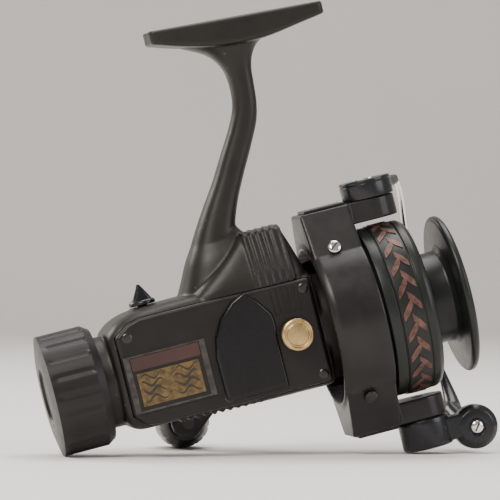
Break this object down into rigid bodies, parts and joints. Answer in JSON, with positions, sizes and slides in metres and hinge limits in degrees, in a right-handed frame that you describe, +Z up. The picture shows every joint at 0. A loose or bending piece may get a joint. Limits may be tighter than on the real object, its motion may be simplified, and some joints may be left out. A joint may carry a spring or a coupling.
{
  "type": "spinning fishing reel",
  "caption": "Rear-drag spinning reel with a rod foot, a crank handle, a turning rotor with a folding bail, and an open spool that slides in and out.",
  "frame": {"origin": "on the table, under the middle of the resting reel's box", "axes": "+Z up, +X forward towards the spool, +Y towards the handle; the shaft climbs forward by 14.1 degrees, as the reel rests"},
  "size_m": [0.1518, 0.0863, 0.1475],
  "materials": {
    "graphite": "satin black graphite-filled plastic",
    "cover_black": "semi-gloss black",
    "rotor_grey": "dark grey paint, satin",
    "spool_dark": "very dark green-black anodised",
    "copper_band": "copper-red printed band on black",
    "gold_cap": "dull gold",
    "label": "dark plate with a gold panel and a maroon strip",
    "chrome": "polished",
    "steel": "ground",
    "gear_zinc": "die-cast",
    "pinion_brass": "machined",
    "nylon": "moulded",
    "felt": "oiled felt",
    "grip": "black, slightly glossy"
  },
  "bodies": {
    "housing": {"body_housing": "graphite", "side_cover": "cover_black", "cover_screws": "steel", "nameplate": "label", "side_cap": "gold_cap", "bearing_retainer": "steel", "retainer_screws": "steel", "pinion_bearing": "steel", "clutch_ring": "steel", "crank_bearings": "steel", "oscillation_axle": "steel", "guide_rod": "steel", "felt_washers": "felt", "drag_spring": "steel", "drag_clicker": "steel"},
    "ar_lever": {"anti_reverse_lever": "grip"},
    "ar_rod": {"anti_reverse_rod": "steel"},
    "ar_cage": {"clutch_cage": "nylon", "clutch_rollers": "steel"},
    "crank": {"drive_gear": "gear_zinc", "crank_shaft": "steel", "handle_hub": "nylon", "handle_arm": "rotor_grey", "knob_pin": "steel"},
    "grip": {"handle_knob": "grip", "knob_cap": "chrome"},
    "osc_gear": {"oscillation_gear": "gear_zinc"},
    "slider": {"slider": "nylon"},
    "spool_shaft": {"main_shaft": "steel", "shaft_clips": "steel", "spool": "spool_dark", "spool_band": "copper_band", "button_spring": "steel"},
    "button": {"spool_button": "grip"},
    "drag_core": {"drag_sleeve": "steel", "metal_washers": "steel"},
    "drag_cap": {"drag_knob": "graphite", "pressure_nut": "steel"},
    "rotor": {"rotor": "rotor_grey", "pinion": "pinion_brass", "clutch_sleeve": "steel", "rotor_nut": "steel", "arm_covers": "rotor_grey", "rotor_screws": "chrome", "bail_pivot_screws": "chrome", "bail_spring": "steel"},
    "bail": {"upper_bail_arm": "cover_black", "lower_bail_arm": "rotor_grey", "bail_wire": "chrome", "roller_screw": "chrome"},
    "roller": {"line_roller": "chrome"}
  },
  "joints": [
    {"name": "handle_crank", "type": "hinge", "parent": "housing", "child": "crank", "pos_m": [0.00553, -0.01485, 0.03842], "axis": [0, 1, 0], "continuous": true},
    {"name": "rotor_spin", "type": "hinge", "parent": "housing", "child": "rotor", "pos_m": [0.00165, -0.01485, 0.03744], "axis": [0.97, 0, 0.2432], "continuous": true},
    {"name": "oscillation_gear_spin", "type": "hinge", "parent": "housing", "child": "osc_gear", "pos_m": [-0.01697, -0.01485, 0.03277], "axis": [0, 1, 0], "continuous": true},
    {"name": "spool_oscillation", "type": "slide", "parent": "housing", "child": "slider", "axis": [0.97, 0, 0.2432], "range_m": [0, 0.0085]},
    {"name": "spool_drag_spin", "type": "hinge", "parent": "slider", "child": "spool_shaft", "pos_m": [0.00165, -0.01485, 0.03744], "axis": [0.97, 0, 0.2432], "continuous": true},
    {"name": "button_press", "type": "slide", "parent": "spool_shaft", "child": "button", "axis": [0.97, 0, 0.2432], "range_m": [-0.001, 0], "stiffness_N_per_m": 400, "springref_m": 0.0015},
    {"name": "drag_sleeve_spin", "type": "hinge", "parent": "housing", "child": "drag_core", "pos_m": [0.00165, -0.01485, 0.03744], "axis": [0.97, 0, 0.2432], "continuous": true},
    {"name": "drag_knob_turn", "type": "hinge", "parent": "housing", "child": "drag_cap", "pos_m": [0.00165, -0.01485, 0.03744], "axis": [0.97, 0, 0.2432], "range_deg": [-360, 540]},
    {"name": "anti_reverse_switch", "type": "hinge", "parent": "housing", "child": "ar_lever", "pos_m": [-0.03569, -0.01485, 0.02808], "axis": [-0.2432, 0, 0.97], "range_deg": [0, 20]},
    {"name": "anti_reverse_rod_turn", "type": "hinge", "parent": "housing", "child": "ar_rod", "pos_m": [-0.00088, -0.02485, 0.04753], "axis": [0.97, 0, 0.2432], "range_deg": [0, 20.5]},
    {"name": "clutch_cage_turn", "type": "hinge", "parent": "housing", "child": "ar_cage", "pos_m": [0.00165, -0.01485, 0.03744], "axis": [0.97, 0, 0.2432], "range_deg": [0, 8.5]},
    {"name": "bail_swing", "type": "hinge", "parent": "rotor", "child": "bail", "pos_m": [0.04239, -0.01485, 0.04766], "axis": [-0.2432, 0, 0.97], "range_deg": [-125, 0]},
    {"name": "line_roller_spin", "type": "hinge", "parent": "bail", "child": "roller", "pos_m": [0.06861, -0.01485, 0.00887], "axis": [0, 1, 0], "continuous": true},
    {"name": "handle_knob_spin", "type": "hinge", "parent": "crank", "child": "grip", "pos_m": [-0.02157, 0.03115, 0.009], "axis": [0, 1, 0], "continuous": true}
  ],
  "couplings": [
    {"joint": "rotor_spin", "follows": "handle_crank", "ratio": -5},
    {"joint": "oscillation_gear_spin", "follows": "handle_crank", "ratio": -0.70588},
    {"joint": "drag_sleeve_spin", "follows": "spool_drag_spin", "ratio": 1},
    {"joint": "anti_reverse_rod_turn", "follows": "anti_reverse_switch", "ratio": 1},
    {"joint": "clutch_cage_turn", "follows": "anti_reverse_switch", "ratio": 0.4}
  ]
}
